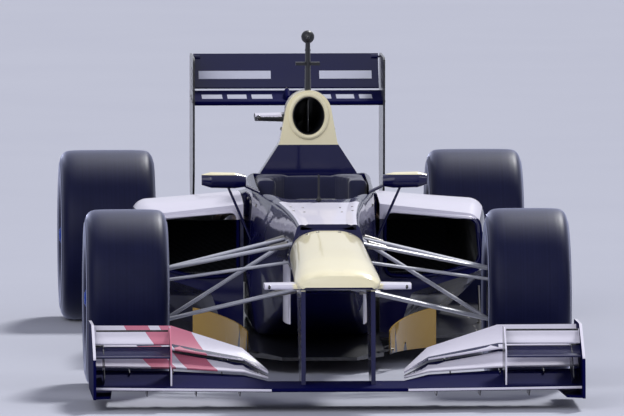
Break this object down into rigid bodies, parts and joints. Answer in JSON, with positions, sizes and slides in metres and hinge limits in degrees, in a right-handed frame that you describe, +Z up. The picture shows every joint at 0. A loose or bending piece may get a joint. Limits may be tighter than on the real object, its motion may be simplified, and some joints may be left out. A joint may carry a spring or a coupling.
{
  "type": "open wheel racing car",
  "caption": "Single-seat open wheel racing car with a stepped nose, a wide slotted front wing and a tall narrow rear wing with an opening flap; wheels turn and steer.",
  "frame": {"origin": "on the ground, on the centre line, half way along the car", "axes": "-Y forwards to the nose, +X to the car's left, +Z up"},
  "size_m": [1.8, 4.9, 1.225],
  "materials": {
    "navy_paint": "gloss",
    "yellow_paint": "gloss",
    "white_paint": "gloss",
    "ochre_paint": "gloss",
    "carbon": "matte",
    "pale_arms": "satin",
    "dark_alloy": "satin",
    "alloy": "satin",
    "tyre": "matte",
    "plank_wood": "matte",
    "lamp_red": "gloss",
    "foam_pad": "matte"
  },
  "bodies": {
    "chassis": {"monocoque": "navy_paint", "nose_cone": "yellow_paint", "front_wing_main_plane": "navy_paint", "front_wing_flaps": "white_paint", "front_wing_endplates": "carbon", "floor": "carbon", "plank": "plank_wood", "diffuser": "carbon", "sidepod_left": "navy_paint", "sidepod_right": "navy_paint", "engine_cover": "navy_paint", "radiators": "alloy", "engine": "alloy", "gearbox": "carbon", "rear_crash_structure": "carbon", "rain_light": "lamp_red", "exhausts": "alloy", "rear_wing_main_plane": "navy_paint", "rear_wing_endplates": "carbon", "beam_wing": "carbon", "driver_seat": "carbon", "headrest": "foam_pad", "mirrors": "navy_paint", "cameras_and_aerials": "carbon", "guide_vanes": "ochre_paint", "front_suspension": "pale_arms", "rear_suspension": "carbon", "rear_uprights": "dark_alloy", "rack_brackets": "alloy"},
    "steered_upright_left": {"front_upright_left": "carbon"},
    "front_wheel_left": {"front_tyre_left": "tyre", "front_rim_left": "dark_alloy"},
    "rear_wheel_left": {"rear_tyre_left": "tyre", "rear_rim_left": "dark_alloy", "driveshaft_left": "alloy"},
    "steered_upright_right": {"front_upright_right": "carbon"},
    "front_wheel_right": {"front_tyre_right": "tyre", "front_rim_right": "dark_alloy"},
    "rear_wheel_right": {"rear_tyre_right": "tyre", "rear_rim_right": "dark_alloy", "driveshaft_right": "alloy"},
    "steering_rack": {"track_rods": "pale_arms"},
    "steering_wheel_and_column": {"steering_wheel": "carbon", "steering_column": "alloy"},
    "rear_flap": {"rear_wing_flap": "navy_paint"}
  },
  "joints": [
    {"name": "steer_left", "type": "hinge", "parent": "chassis", "child": "steered_upright_left", "pos_m": [0.66, -1.3, 0.33], "axis": [0, 0, 1], "range_deg": [-14, 14]},
    {"name": "front_spin_left", "type": "hinge", "parent": "steered_upright_left", "child": "front_wheel_left", "pos_m": [0.745, -1.3, 0.33], "axis": [1, 0, 0], "continuous": true},
    {"name": "rear_spin_left", "type": "hinge", "parent": "chassis", "child": "rear_wheel_left", "pos_m": [0.715, 1.85, 0.33], "axis": [1, 0, 0], "continuous": true},
    {"name": "steer_right", "type": "hinge", "parent": "chassis", "child": "steered_upright_right", "pos_m": [-0.66, -1.3, 0.33], "axis": [0, 0, 1], "range_deg": [-14, 14]},
    {"name": "front_spin_right", "type": "hinge", "parent": "steered_upright_right", "child": "front_wheel_right", "pos_m": [-0.745, -1.3, 0.33], "axis": [1, 0, 0], "continuous": true},
    {"name": "rear_spin_right", "type": "hinge", "parent": "chassis", "child": "rear_wheel_right", "pos_m": [-0.715, 1.85, 0.33], "axis": [1, 0, 0], "continuous": true},
    {"name": "rack_slide", "type": "slide", "parent": "chassis", "child": "steering_rack", "axis": [1, 0, 0], "range_m": [-0.0222, 0.0222]},
    {"name": "steering_wheel_turn", "type": "hinge", "parent": "chassis", "child": "steering_wheel_and_column", "pos_m": [0, -0.49, 0.56], "axis": [0, 0.9703, 0.2419], "range_deg": [-169, 169]},
    {"name": "flap_open", "type": "hinge", "parent": "chassis", "child": "rear_flap", "pos_m": [0, 2.268, 0.995], "axis": [1, 0, 0], "range_deg": [-15, 0]}
  ],
  "couplings": [
    {"joint": "steer_right", "follows": "steer_left", "ratio": 1},
    {"joint": "rack_slide", "follows": "steer_left", "m_per_rad": 0.09},
    {"joint": "steering_wheel_turn", "follows": "steer_left", "ratio": 12}
  ]
}
